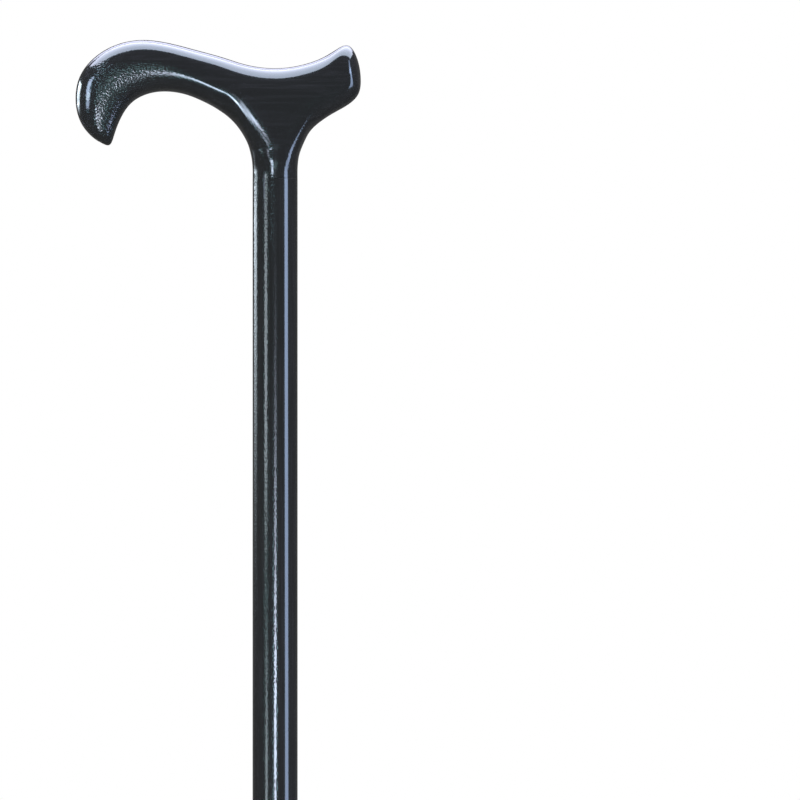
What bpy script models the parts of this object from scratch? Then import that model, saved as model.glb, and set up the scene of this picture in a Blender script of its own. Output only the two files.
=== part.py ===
"""A wooden walking cane with a derby handle, a straight turned shaft and a rubber ferrule.

Units are metres, +Z is up, and the origin is the middle of the ferrule's ground face, on the shaft's axis.
The handle's nose points to -X and its tail to +X.
"""

import math

import bpy
import numpy as np

# Shaft: a turned hardwood rod, straight at the top and drawn in a little towards the foot.
SHAFT_LENGTH = 0.858
SHAFT_DIAMETER = 0.020
SHAFT_TIP_DIAMETER = 0.018
SHAFT_TAPER_LENGTH = 0.400
SHAFT_SEAT_LENGTH = 0.048
SHAFT_TIP_CHAMFER = 0.0010

# Handle: one carved hardwood block. Its length is from nose to tail, its rise is from the joint to its
# highest point, and its thickness is across the palm, along Y.
HANDLE_LENGTH = 0.1267
HANDLE_RISE = 0.0615
HANDLE_THICKNESS = 0.0242

# Joint: a threaded steel stud glued into a blind bore in each half. The two rims have a broken edge.
STUD_DIAMETER = 0.008
STUD_LENGTH = 0.050
THREAD_PITCH = 0.00125
THREAD_DEPTH = 0.00075
STUD_CHAMFER = 0.0006
GLUE_GAP = 0.0003
JOINT_GAP = 0.0003
JOINT_EDGE = 0.0003

# Ferrule: a moulded rubber foot with a ribbed collar, pushed onto the shaft's tip.
FERRULE_SOLE = 0.0080
FERRULE_SOCKET_DEPTH = 0.0340
FERRULE_WALL = 0.0031
FERRULE_CLEARANCE = 0.0003
FERRULE_LIP_RADIUS = 0.0010
FOOT_DIAMETER = 0.0360
FOOT_HEIGHT = 0.0060
FOOT_EDGE_RADIUS = 0.0016
FLARE_HEIGHT = 0.0140
RIB_COUNT = 3
RIB_PITCH = 0.0044
RIB_HEIGHT = 0.0010
RIB_BASE_WIDTH = 0.0026
RIB_TIP_WIDTH = 0.0010
RIB_START = 0.0042
TREAD_DEPTH = 0.0014
TREAD_GROOVE_COUNT = 3
TREAD_GROOVE_WIDTH = 0.0018
TREAD_CENTRE_RADIUS = 0.0032

# Washer: a steel disc on the socket's floor that keeps the shaft from punching through the sole.
WASHER_THICKNESS = 0.0015
WASHER_HOLE_DIAMETER = 0.0060
SEAT_GAP = 0.0003

# Facets round the turned pieces, and along the ferrule's flare.
SHAFT_STEPS = 64
FERRULE_STEPS = 48
STUD_STEPS = 12
FLARE_STEPS = 6

# Heights and radii that follow from the sizes above.
WASHER_BASE_Z = FERRULE_SOLE + SEAT_GAP
SHAFT_TIP_Z = WASHER_BASE_Z + WASHER_THICKNESS + SEAT_GAP
SHAFT_TOP_Z = SHAFT_TIP_Z + SHAFT_LENGTH
HANDLE_BASE_Z = SHAFT_TOP_Z + JOINT_GAP
FERRULE_TOP_Z = SHAFT_TIP_Z + FERRULE_SOCKET_DEPTH
STUD_MIDDLE_Z = (SHAFT_TOP_Z + HANDLE_BASE_Z) / 2
BORE_RADIUS = STUD_DIAMETER / 2 + GLUE_GAP
BORE_REACH = STUD_LENGTH / 2 + GLUE_GAP
NECK_RADIUS = SHAFT_DIAMETER / 2
SOCKET_RADIUS = SHAFT_TIP_DIAMETER / 2 + FERRULE_CLEARANCE

# The handle's head is a row of ten-point sections from the nose to the tail. Each has its point on the
# upper outline and its point on the lower outline (x, height above the joint), and its share of the
# handle's half thickness. The section over the neck has a lower point too, which only sets its curve.
# The outline is drawn at this size, and is then stretched to the handle's length and rise.
HEAD_SECTIONS = (
    ((-0.0812, 0.0184), (-0.0716, 0.0190), 0.52),
    ((-0.0861, 0.0244), (-0.0696, 0.0246), 0.68),
    ((-0.0886, 0.0337), (-0.0666, 0.0303), 0.80),
    ((-0.0872, 0.0443), (-0.0629, 0.0344), 0.88),
    ((-0.0812, 0.0529), (-0.0583, 0.0370), 0.94),
    ((-0.0718, 0.0589), (-0.0530, 0.0384), 0.98),
    ((-0.0598, 0.0615), (-0.0470, 0.0386), 1.00),
    ((-0.0470, 0.0601), (-0.0400, 0.0374), 1.00),
    ((-0.0349, 0.0570), (-0.0325, 0.0345), 0.99),
    ((-0.0230, 0.0537), (-0.0250, 0.0304), 0.98),
    ((-0.0118, 0.0503), (-0.0180, 0.0246), 0.98),
    ((0.0015, 0.0490), (0.0005, 0.0200), 0.98),
    ((0.0140, 0.0510), (0.0170, 0.0226), 0.96),
    ((0.0230, 0.0547), (0.0245, 0.0282), 0.92),
    ((0.0295, 0.0586), (0.0315, 0.0322), 0.87),
    ((0.0338, 0.0582), (0.0366, 0.0368), 0.70),
)
NOSE_END = ((-0.0772, 0.0158), (-0.0736, 0.0149))
TAIL_END = ((0.0370, 0.0517), (0.0381, 0.0432))
OVER_NECK = 11
HEAD_POINTS = 10
HEAD_SQUARENESS = 2.25
# The end caps: six quads on a ring's ten points and the two points of the end, which count as 10 and 11.
CAP_QUADS = ((0, 10, 2, 1), (10, 11, 3, 2), (11, 5, 4, 3), (5, 11, 7, 6), (11, 10, 8, 7), (10, 0, 9, 8))
# The head's quads from point 3 round to point 7 are open on both sides of that section, and the neck
# hangs from the opening. Its sections: height, how far they stand out from the neck's radius to -X, to +X
# and to both faces, and their squareness.
OPEN_FROM, OPEN_TO = 3, 7
NECK_POINTS = 12
NECK_SECTIONS = (
    (0.0172, 0.0030, 0.0034, 0.00136, 2.8),
    (0.0120, 0.0011, 0.0012, 0.00104, 2.7),
    (0.0080, 0.0003, 0.0003, 0.00086, 2.3),
    (0.0040, 0.0, 0.0, 0.00034, 2.0),
    (0.0, 0.0, 0.0, 0.0, 2.0),
)
SUBDIVISION_LEVELS = 2
# How far a cutter runs on past what it cuts.
CUT_MARGIN = 0.0020

LACQUERED_WOOD = {"Base Color": (0.016, 0.018, 0.021, 1.0), "Roughness": 0.18, "Metallic": 0.0}
BLACK_RUBBER = {"Base Color": (0.030, 0.030, 0.031, 1.0), "Roughness": 0.75, "Metallic": 0.0}
ZINCED_STEEL = {"Base Color": (0.62, 0.63, 0.65, 1.0), "Roughness": 0.35, "Metallic": 1.0}


def new_collection(name):
    collection = bpy.data.collections.new(name)
    bpy.context.scene.collection.children.link(collection)
    return collection


def new_material(name, finish):
    material = bpy.data.materials.new(name)
    material.use_nodes = True
    shader = material.node_tree.nodes["Principled BSDF"]
    for socket, value in finish.items():
        shader.inputs[socket].default_value = value
    return material


def new_object(name, points, edges, faces, collection):
    mesh = bpy.data.meshes.new(name)
    mesh.from_pydata(np.asarray(points).tolist(), edges, faces)
    thing = bpy.data.objects.new(name, mesh)
    collection.objects.link(thing)
    return thing


def turned(name, profile, collection, steps, closed=False):
    """A solid turned about Z from a profile of (radius, height) that runs down its outer side."""
    points = [(radius, 0.0, height) for radius, height in profile]
    edges = [(i, i + 1) for i in range(len(points) - 1)]
    if closed:
        edges.append((len(points) - 1, 0))
    thing = new_object(name, points, edges, [], collection)
    screw = thing.modifiers.new("turn", "SCREW")
    screw.angle = math.tau
    screw.steps = steps
    screw.render_steps = steps
    screw.use_merge_vertices = True
    screw.merge_threshold = 0.00001
    return thing


def cutter(thing):
    thing.hide_render = True
    thing.display_type = "WIRE"
    return thing


def cut(thing, tool):
    boolean = thing.modifiers.new("cut_" + tool.name, "BOOLEAN")
    boolean.operation = "DIFFERENCE"
    boolean.object = tool


def finish(thing, material, sharp_angle):
    """Replaces the object's modifiers by the mesh they make, smooth but for edges over the angle."""
    made = bpy.data.meshes.new_from_object(thing.evaluated_get(bpy.context.evaluated_depsgraph_get()))
    made.name = thing.name
    thing.modifiers.clear()
    thing.data = made
    made.materials.clear()
    made.materials.append(material)
    made.shade_smooth()
    made.set_sharp_from_angle(angle=math.radians(sharp_angle))


def arc(centre, radius, first, last, count):
    """Points (radius, height) on an arc of the profile plane, between two angles in degrees."""
    angles = np.radians(np.linspace(first, last, count))
    return [(centre[0] + radius * math.cos(a), centre[1] + radius * math.sin(a)) for a in angles]


def stretch():
    """The handle's length and rise, each over that of the outline as it is drawn."""
    drawn = np.concatenate([row[:2] for row in HEAD_SECTIONS] + [NOSE_END, TAIL_END])
    return np.array([HANDLE_LENGTH / np.ptp(drawn[:, 0]), HANDLE_RISE / drawn[:, 1].max()])


def head_rings():
    """The head's sections as an array (section, point, xyz).

    Each runs from its upper point over the front (-Y) to its lower point and up the back, on a
    superellipse: the cosine and sine of the turn, raised to 2 / squareness.
    """
    upper, lower, share = (np.array(column) for column in zip(*HEAD_SECTIONS))
    upper, lower = upper * stretch(), lower * stretch()
    turn = np.arange(HEAD_POINTS) * math.tau / HEAD_POINTS
    power = 2 / HEAD_SQUARENESS
    along = np.sign(np.cos(turn)) * np.abs(np.cos(turn)) ** power
    across = np.sign(np.sin(turn)) * np.abs(np.sin(turn)) ** power
    middle = (upper + lower)[:, None] / 2
    half = (upper - lower)[:, None] / 2
    outline = middle + half * along[None, :, None]
    side = -HANDLE_THICKNESS / 2 * share[:, None] * across
    return np.stack([outline[..., 0], side, outline[..., 1] + HANDLE_BASE_Z], axis=-1)


def neck_rings():
    """The neck's sections as an array (section, point, xyz), each a superellipse from -X over the front."""
    longer, higher = stretch()
    sections = np.array(NECK_SECTIONS) * (higher, longer, longer, longer, 1.0)
    height, out_left, out_right, out_side, squareness = sections.T[:, :, None]
    turn = np.arange(NECK_POINTS) * math.tau / NECK_POINTS
    along = np.sign(np.cos(turn)) * np.abs(np.cos(turn)) ** (2 / squareness)
    across = np.sign(np.sin(turn)) * np.abs(np.sin(turn)) ** (2 / squareness)
    half = NECK_RADIUS + (out_left + out_right) / 2
    x = (out_right - out_left) / 2 - half * along
    y = -(NECK_RADIUS + out_side) * across
    return np.stack([x, y, height + HANDLE_BASE_Z + 0 * turn], axis=-1)


def handle_net():
    """Points that the handle's surface passes through, its quads, and the rim of its flat lower end."""
    head, neck = head_rings(), neck_rings()
    end_outline = np.array(NOSE_END + TAIL_END) * stretch()
    ends = np.array([(x, 0.0, z + HANDLE_BASE_Z) for x, z in end_outline])
    points = np.concatenate([head.reshape(-1, 3), ends, neck.reshape(-1, 3)])
    ring = np.arange(head.shape[0] * HEAD_POINTS).reshape(head.shape[:2])
    end = ring.size + np.arange(len(ends))
    collar = ring.size + len(ends) + np.arange(neck.shape[0] * NECK_POINTS).reshape(neck.shape[:2])

    after = np.roll(ring, -1, axis=1)
    quads = np.stack([ring[:-1], after[:-1], after[1:], ring[1:]], axis=-1)
    solid = np.ones(quads.shape[:2], dtype=bool)
    solid[OVER_NECK - 1:OVER_NECK + 1, OPEN_FROM:OPEN_TO] = False
    quads = quads[solid]

    cap = np.array(CAP_QUADS)
    nose = np.concatenate([ring[0], end[:2]])[cap]
    tail = np.concatenate([ring[-1], end[2:]])[cap][:, ::-1]

    # The opening's edge, from the nose side over the front to the tail side and back.
    left, over, right = ring[OVER_NECK - 1:OVER_NECK + 2]
    middle = HEAD_POINTS // 2
    mouth = np.concatenate([
        left[middle:OPEN_FROM - 1:-1],
        [over[OPEN_FROM]],
        right[OPEN_FROM:OPEN_TO + 1],
        [over[OPEN_TO]],
        left[OPEN_TO:middle:-1],
    ])
    loops = np.concatenate([mouth[None], collar])
    beside = np.roll(loops, -1, axis=1)
    hang = np.stack([loops[:-1], loops[1:], beside[1:], beside[:-1]], axis=-1).reshape(-1, 4)

    quads = np.concatenate([quads, nose, tail, hang])
    used, quads = np.unique(quads, return_inverse=True)
    quads = quads.reshape(-1, 4)
    return points[used], quads, np.searchsorted(used, collar[-1])


def cage_through(points, quads, rim):
    """The cage whose subdivided surface passes through the points, one at each of its corners.

    Where n quads meet, a corner settles at (n² corner + 4 neighbours + opposites) / (n (n + 5)), and on
    the creased rim at (before + 4 corner + after) / 6. The cage is what these equations give back.
    """
    count = len(points)
    weights = np.zeros((count, count))
    meeting = np.bincount(quads.ravel(), minlength=count)
    corner, following, opposite, previous = (np.roll(quads, -k, axis=1).ravel() for k in range(4))
    # Each edge belongs to two quads, so each of them gives a neighbour half of its 4.
    np.add.at(weights, (corner, following), 2.0)
    np.add.at(weights, (corner, previous), 2.0)
    np.add.at(weights, (corner, opposite), 1.0)
    weights[range(count), range(count)] = meeting ** 2
    weights /= (meeting * (meeting + 5))[:, None]
    weights[rim] = 0.0
    weights[rim, rim] = 4 / 6
    weights[rim, np.roll(rim, 1)] = 1 / 6
    weights[rim, np.roll(rim, -1)] = 1 / 6
    return np.linalg.solve(weights, points)


def handle(collection, cutters, material):
    """The carved handle: a smooth surface on its net, bored up the neck, with the neck's rim broken."""
    points, quads, rim = handle_net()
    cage = cage_through(points, quads, rim)
    faces = quads.tolist() + [rim[::-1].tolist()]
    thing = new_object("handle", cage, [], faces, collection)
    mesh = thing.data
    crease = mesh.attributes.new("crease_edge", "FLOAT", "EDGE")
    on_rim = set(rim.tolist())
    for edge in mesh.edges:
        crease.data[edge.index].value = float(on_rim.issuperset(edge.vertices))
    smooth = thing.modifiers.new("carve", "SUBSURF")
    smooth.levels = SUBDIVISION_LEVELS
    smooth.render_levels = SUBDIVISION_LEVELS

    bore_top = STUD_MIDDLE_Z + BORE_REACH
    below = HANDLE_BASE_Z - CUT_MARGIN
    bore = [(0.0, bore_top), (BORE_RADIUS, bore_top), (BORE_RADIUS, below), (0.0, below)]
    cut(thing, cutter(turned("neck_bore", bore, cutters, STUD_STEPS * 2)))
    corner = [
        (NECK_RADIUS + CUT_MARGIN, HANDLE_BASE_Z + JOINT_EDGE + CUT_MARGIN),
        (NECK_RADIUS + CUT_MARGIN, below),
        (NECK_RADIUS - JOINT_EDGE - CUT_MARGIN, below),
    ]
    cut(thing, cutter(turned("neck_edge", corner, cutters, SHAFT_STEPS, closed=True)))
    finish(thing, material, 35)


def shaft(collection, material):
    """The turned shaft, with the stud's blind bore in its top end."""
    bore_floor = STUD_MIDDLE_Z - BORE_REACH
    radius, tip_radius = SHAFT_DIAMETER / 2, SHAFT_TIP_DIAMETER / 2
    seat_top = SHAFT_TIP_Z + SHAFT_SEAT_LENGTH
    profile = [
        (0.0, bore_floor),
        (BORE_RADIUS, bore_floor),
        (BORE_RADIUS, SHAFT_TOP_Z),
        (radius - JOINT_EDGE, SHAFT_TOP_Z),
        (radius, SHAFT_TOP_Z - JOINT_EDGE),
        (radius, seat_top + SHAFT_TAPER_LENGTH),
        (tip_radius, seat_top),
        (tip_radius, SHAFT_TIP_Z + SHAFT_TIP_CHAMFER),
        (tip_radius - SHAFT_TIP_CHAMFER, SHAFT_TIP_Z),
        (0.0, SHAFT_TIP_Z),
    ]
    finish(turned("shaft", profile, collection, SHAFT_STEPS), material, 30)


def joint_stud(collection, material):
    """The threaded stud. Points on the crest and in the root follow one helix, a pitch a turn.

    The thread's height fades in over the first turn and out over the last. Below and above it a level
    ring and a chamfer close the rod, and one six-sided face at each end takes up the helix's step.
    """
    core = STUD_DIAMETER / 2 - THREAD_DEPTH
    plain_end = 2 * STUD_CHAMFER
    turns = int((STUD_LENGTH - 2 * plain_end) / THREAD_PITCH)
    last = turns * STUD_STEPS
    place = np.arange(last + 1)
    turn = place * math.tau / STUD_STEPS
    low = STUD_MIDDLE_Z - turns * THREAD_PITCH / 2
    height = low + place * THREAD_PITCH / STUD_STEPS
    fade = np.clip(np.minimum(place, last - place) / STUD_STEPS, 0, 1)

    def on_rod(radius, angle, level):
        return np.stack([radius * np.cos(angle), radius * np.sin(angle), level + 0 * angle], axis=-1)

    crest = on_rod(core + THREAD_DEPTH * fade, turn, height)
    root = on_rod(core, turn[:-STUD_STEPS], height[:-STUD_STEPS] + THREAD_PITCH / 2)
    ring_turn = turn[:STUD_STEPS]
    ends = [
        (core, low - STUD_CHAMFER),
        (core - STUD_CHAMFER, STUD_MIDDLE_Z - STUD_LENGTH / 2),
        (core, 2 * STUD_MIDDLE_Z - low + STUD_CHAMFER),
        (core - STUD_CHAMFER, STUD_MIDDLE_Z + STUD_LENGTH / 2),
    ]
    rings = [on_rod(radius, ring_turn, level) for radius, level in ends]
    points = np.concatenate([crest, root] + rings)

    crests = np.arange(len(crest))
    roots = len(crest) + np.arange(len(root))
    foot, foot_end, head, head_end = np.arange(len(points))[len(crest) + len(root):].reshape(4, STUD_STEPS)
    after = np.roll(np.arange(STUD_STEPS), -1)
    first, final = crests[:STUD_STEPS + 1], crests[-STUD_STEPS - 1:]
    above = crests[STUD_STEPS:]
    quads = np.concatenate([
        np.stack([crests[:len(roots) - 1], crests[1:len(roots)], roots[1:], roots[:-1]], axis=-1),
        np.stack([roots[:-1], roots[1:], above[1:], above[:-1]], axis=-1),
        np.stack([foot[:-1], foot[1:], first[1:-1], first[:-2]], axis=-1),
        np.stack([final[1:-1], final[2:], head[after][1:], head[1:]], axis=-1),
        np.stack([foot_end, foot_end[after], foot[after], foot], axis=-1),
        np.stack([head, head[after], head_end[after], head_end], axis=-1),
    ])
    steps = [
        np.array([foot[-1], foot[0], first[0], roots[0], first[-1], first[-2]]),
        np.array([final[0], final[1], head[1], head[0], final[-1], roots[-1]]),
    ]
    faces = [face.tolist() for face in [*quads, *steps, foot_end[::-1], head_end]]
    finish(new_object("joint_stud", points, [], faces, collection), material, 40)


def ferrule_profile():
    """The ferrule's half section: socket, lip, ribbed collar, flared foot and ringed tread."""
    collar_radius = SOCKET_RADIUS + FERRULE_WALL
    foot_radius = FOOT_DIAMETER / 2
    flare_top = FOOT_HEIGHT + FLARE_HEIGHT
    flat_radius = foot_radius - FOOT_EDGE_RADIUS
    profile = [
        (0.0, FERRULE_SOLE),
        (SOCKET_RADIUS, FERRULE_SOLE),
        (SOCKET_RADIUS, FERRULE_TOP_Z),
    ]
    lip_centre = (collar_radius - FERRULE_LIP_RADIUS, FERRULE_TOP_Z - FERRULE_LIP_RADIUS)
    profile += arc(lip_centre, FERRULE_LIP_RADIUS, 90, 0, 4)
    for k in range(RIB_COUNT):
        middle = FERRULE_TOP_Z - RIB_START - k * RIB_PITCH
        profile += [
            (collar_radius, middle + RIB_BASE_WIDTH / 2),
            (collar_radius + RIB_HEIGHT, middle + RIB_TIP_WIDTH / 2),
            (collar_radius + RIB_HEIGHT, middle - RIB_TIP_WIDTH / 2),
            (collar_radius, middle - RIB_BASE_WIDTH / 2),
        ]
    # The flare widens with the square of the way down.
    for share in np.linspace(0, 1, FLARE_STEPS + 1):
        radius = collar_radius + (foot_radius - collar_radius) * share ** 2
        profile.append((radius, flare_top - FLARE_HEIGHT * share))
    profile += arc((flat_radius, FOOT_EDGE_RADIUS), FOOT_EDGE_RADIUS, 0, -90, 5)
    grooves = TREAD_GROOVE_COUNT * TREAD_GROOVE_WIDTH
    land = (flat_radius - TREAD_CENTRE_RADIUS - grooves) / TREAD_GROOVE_COUNT
    for k in range(TREAD_GROOVE_COUNT):
        outer = flat_radius - land - k * (land + TREAD_GROOVE_WIDTH)
        inner = outer - TREAD_GROOVE_WIDTH
        profile += [(outer, 0.0), (outer, TREAD_DEPTH), (inner, TREAD_DEPTH), (inner, 0.0)]
    profile.append((0.0, 0.0))
    return profile


def washer_profile():
    outer = SOCKET_RADIUS - FERRULE_CLEARANCE
    inner = WASHER_HOLE_DIAMETER / 2
    top = WASHER_BASE_Z + WASHER_THICKNESS
    return [(outer, top), (outer, WASHER_BASE_Z), (inner, WASHER_BASE_Z), (inner, top)]


for leftover in list(bpy.data.objects):
    bpy.data.objects.remove(leftover, do_unlink=True)

cane = new_collection("walking_cane")
cutters = new_collection("cutters")

handle(cane, cutters, new_material("handle_lacquer", LACQUERED_WOOD))
shaft(cane, new_material("shaft_lacquer", LACQUERED_WOOD))
joint_stud(cane, new_material("stud_steel", ZINCED_STEEL))
finish(turned("ferrule", ferrule_profile(), cane, FERRULE_STEPS),
       new_material("ferrule_rubber", BLACK_RUBBER), 30)
finish(turned("ferrule_washer", washer_profile(), cane, FERRULE_STEPS, closed=True),
       new_material("washer_steel", ZINCED_STEEL), 30)
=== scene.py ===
"""The looks of a black lacquered walking cane with a derby handle, made round its fixed frame.

Units are metres and +Z is up. The handle's nose points to -X and its tail to +X.
"""

import math

import bpy
import numpy as np
from mathutils import Euler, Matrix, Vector


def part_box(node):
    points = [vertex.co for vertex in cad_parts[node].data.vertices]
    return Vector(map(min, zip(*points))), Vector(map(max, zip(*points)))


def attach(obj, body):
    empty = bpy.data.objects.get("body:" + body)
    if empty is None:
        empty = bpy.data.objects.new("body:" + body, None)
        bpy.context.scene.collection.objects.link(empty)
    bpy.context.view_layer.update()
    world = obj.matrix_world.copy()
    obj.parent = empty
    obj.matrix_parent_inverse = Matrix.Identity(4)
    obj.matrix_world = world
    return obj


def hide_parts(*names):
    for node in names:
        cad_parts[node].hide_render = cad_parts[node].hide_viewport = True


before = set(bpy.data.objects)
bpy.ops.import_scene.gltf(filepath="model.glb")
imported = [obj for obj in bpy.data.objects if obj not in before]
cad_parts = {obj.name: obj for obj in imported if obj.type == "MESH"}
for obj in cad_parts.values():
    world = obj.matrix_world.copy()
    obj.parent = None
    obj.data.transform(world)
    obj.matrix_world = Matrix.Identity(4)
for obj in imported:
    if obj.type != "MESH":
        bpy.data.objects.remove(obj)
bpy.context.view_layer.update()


# Shaft
# A rod of straight-grained hardwood, turned and sanded, stained black and dipped in clear gloss lacquer.
# Its top end is bored for the stud, and its foot is drawn in to fit the ferrule.

SHAFT_TIP_RADIUS = 0.0090
SHAFT_TAPER_LENGTH = 0.400
SHAFT_SEAT_LENGTH = 0.048
SHAFT_TIP_EASING = 0.0010
SHAFT_SIDES = 192
BORE_RADIUS = 0.0043
# The bore reaches this far from the middle of the joint, which shows as a hairline.
BORE_REACH = 0.0253
JOINT_GAP = 0.00010
JOINT_EASING = 0.00003
# The stain goes from dark to pale while the grain's noise crosses the span.
STAIN_DARK = (0.0088, 0.0086, 0.0098, 1.0)
STAIN_PALE = (0.0208, 0.0206, 0.0228, 1.0)
STAIN_SPAN = (0.48, 0.74)
WOOD_ROUGHNESS = (0.12, 0.18)
WOOD_SPECULAR = 0.40
WOOD_SHEEN = (0.60, 1.0, 0.92, 1.0)
GRAIN_SCALE = 900.0
PORE_SCALE = 1500.0
REFILLED_OPENNESS = 0.1
LACQUER_ROUGHNESS = 0.03
LACQUER_IOR = 1.55
# The lacquer's faint orange peel.
FLOW_SCALE = 420.0
FLOW_DEPTH = 0.000004

shaft_low, shaft_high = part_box("shaft")
handle_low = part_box("handle")[0]
SHAFT_RADIUS = shaft_high.x
JOINT_MIDDLE = (shaft_high.z + handle_low.z) / 2


def eased(corners, points_per_arc=6):
    """A profile with rounded corners, as an array of (radius, height).

    A corner is (radius, height, easing). Its easing is the radius of an arc that touches both legs: the arc
    meets them easing / tan(half) from the corner, and its middle is easing / sin(half) away along the
    bisector, where half is half the corner's angle. One more point on each leg, a quarter of the easing
    farther out, keeps the flat beside the arc flat. A corner with no easing stays sharp.
    """
    rows = np.array(corners, dtype=float)
    places = []
    for k, (radius, height, easing) in enumerate(rows):
        corner = np.array([radius, height])
        if easing == 0:
            places.append(corner[None])
            continue
        back, ahead = rows[k - 1, :2] - corner, rows[(k + 1) % len(rows), :2] - corner
        back, ahead = back / np.linalg.norm(back), ahead / np.linalg.norm(ahead)
        half = math.acos(back @ ahead) / 2
        middle = corner + (back + ahead) / np.linalg.norm(back + ahead) * easing / math.sin(half)
        first, last = (corner + leg * easing / math.tan(half) for leg in (back, ahead))
        sweep = math.pi - 2 * half
        share = np.linspace(0, 1, points_per_arc)[:, None]
        arc = (first - middle) * np.sin((1 - share) * sweep) + (last - middle) * np.sin(share * sweep)
        places += [
            first[None] + back * easing / 4,
            middle + arc / math.sin(sweep),
            last[None] + ahead * easing / 4,
        ]
    return np.concatenate(places)


def turned(profile, turns, ring=False):
    """Points and faces of a solid turned about Z, from profile rows of (radius, height).

    At turn t a row lies at (radius cos t, radius sin t, height). The profile runs down the outer side.
    A row on the axis is one point, where the faces are triangles. A ring's last row meets its first.
    """
    radius, height = profile.T[:, :, None]
    rings = np.stack([radius * np.cos(turns), radius * np.sin(turns), height + 0 * turns], axis=-1)
    on_axis = profile[:, 0] == 0
    kept = np.ones(rings.shape[:2], dtype=bool)
    kept[on_axis, 1:] = False
    number = np.cumsum(kept).reshape(kept.shape) - 1
    number[on_axis] = number[on_axis, :1]
    if ring:
        number, on_axis = np.concatenate([number, number[:1]]), np.append(on_axis, False)
    beside = np.roll(number, -1, axis=1)
    quads = np.stack([number[:-1], number[1:], beside[1:], beside[:-1]], axis=-1)
    from_axis, to_axis = on_axis[:-1], on_axis[1:]
    faces = quads[~from_axis & ~to_axis].reshape(-1, 4).tolist()
    faces += quads[from_axis][..., :3].reshape(-1, 3).tolist()
    faces += quads[to_axis][..., [0, 1, 3]].reshape(-1, 3).tolist()
    return rings[kept], faces


def even_turns(sides):
    """Where the sides' edges lie, in radians: 0, 1, 2 and so on times a full turn over their number."""
    return np.arange(sides) * math.tau / sides


def skin(name, points, faces, finish, sharp_angle=35):
    """A mesh object of these points and faces, smooth but for edges sharper than the angle, in degrees."""
    mesh = bpy.data.meshes.new(name)
    mesh.from_pydata(points.tolist(), [], faces)
    mesh.shade_smooth()
    mesh.set_sharp_from_angle(angle=math.radians(sharp_angle))
    mesh.materials.append(finish)
    thing = bpy.data.objects.new(name, mesh)
    bpy.context.scene.collection.objects.link(thing)
    return thing


def add_node(tree, kind, inputs, **settings):
    """A shader node. Each input is a number or colour for its socket, or the output that feeds it."""
    made = tree.nodes.new("ShaderNode" + kind)
    for key, value in settings.items():
        setattr(made, key, value)
    for key, value in inputs.items():
        if isinstance(value, bpy.types.NodeSocket):
            tree.links.new(value, made.inputs[key])
        else:
            made.inputs[key].default_value = value
    return made


def noise(tree, place, scale, detail, roughness=0.5, stretch=None):
    """Noise with about scale waves a metre. It is drawn out along each axis whose stretch is under 1."""
    if stretch:
        place = add_node(tree, "Mapping", {"Vector": place, "Scale": stretch}).outputs["Vector"]
    return add_node(tree, "TexNoise", {
        "Vector": place, "Scale": scale, "Detail": detail, "Roughness": roughness,
    }).outputs["Fac"]


def between(tree, value, span, low, high, way="LINEAR"):
    """A value that goes from low to high while another one crosses the span, and keeps to these ends."""
    return add_node(tree, "MapRange", {
        "Value": value, "From Min": span[0], "From Max": span[1], "To Min": low, "To Max": high,
    }, interpolation_type=way).outputs["Result"]


def colour_between(tree, value, span, first, last):
    """A colour that goes from the first to the last while the value crosses the span."""
    ramp = add_node(tree, "ValToRGB", {"Fac": value})
    for end, colour, position in zip(ramp.color_ramp.elements, (first, last), span):
        end.color = colour
        end.position = position
    return ramp.outputs["Color"]


def combined(tree, operation, first, second):
    """What the operation makes of two values."""
    return add_node(tree, "Math", {0: first, 1: second}, operation=operation).outputs["Value"]


def axis_of(tree, place, axis):
    """One of the place's three coordinates."""
    return add_node(tree, "SeparateXYZ", {"Vector": place}).outputs[axis]


def new_finish(name):
    """An empty material, its tree and the object's coordinates."""
    finish = bpy.data.materials.new(name)
    finish.use_nodes = True
    tree = finish.node_tree
    tree.nodes.clear()
    return finish, tree, add_node(tree, "TexCoord", {}).outputs["Object"]


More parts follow.
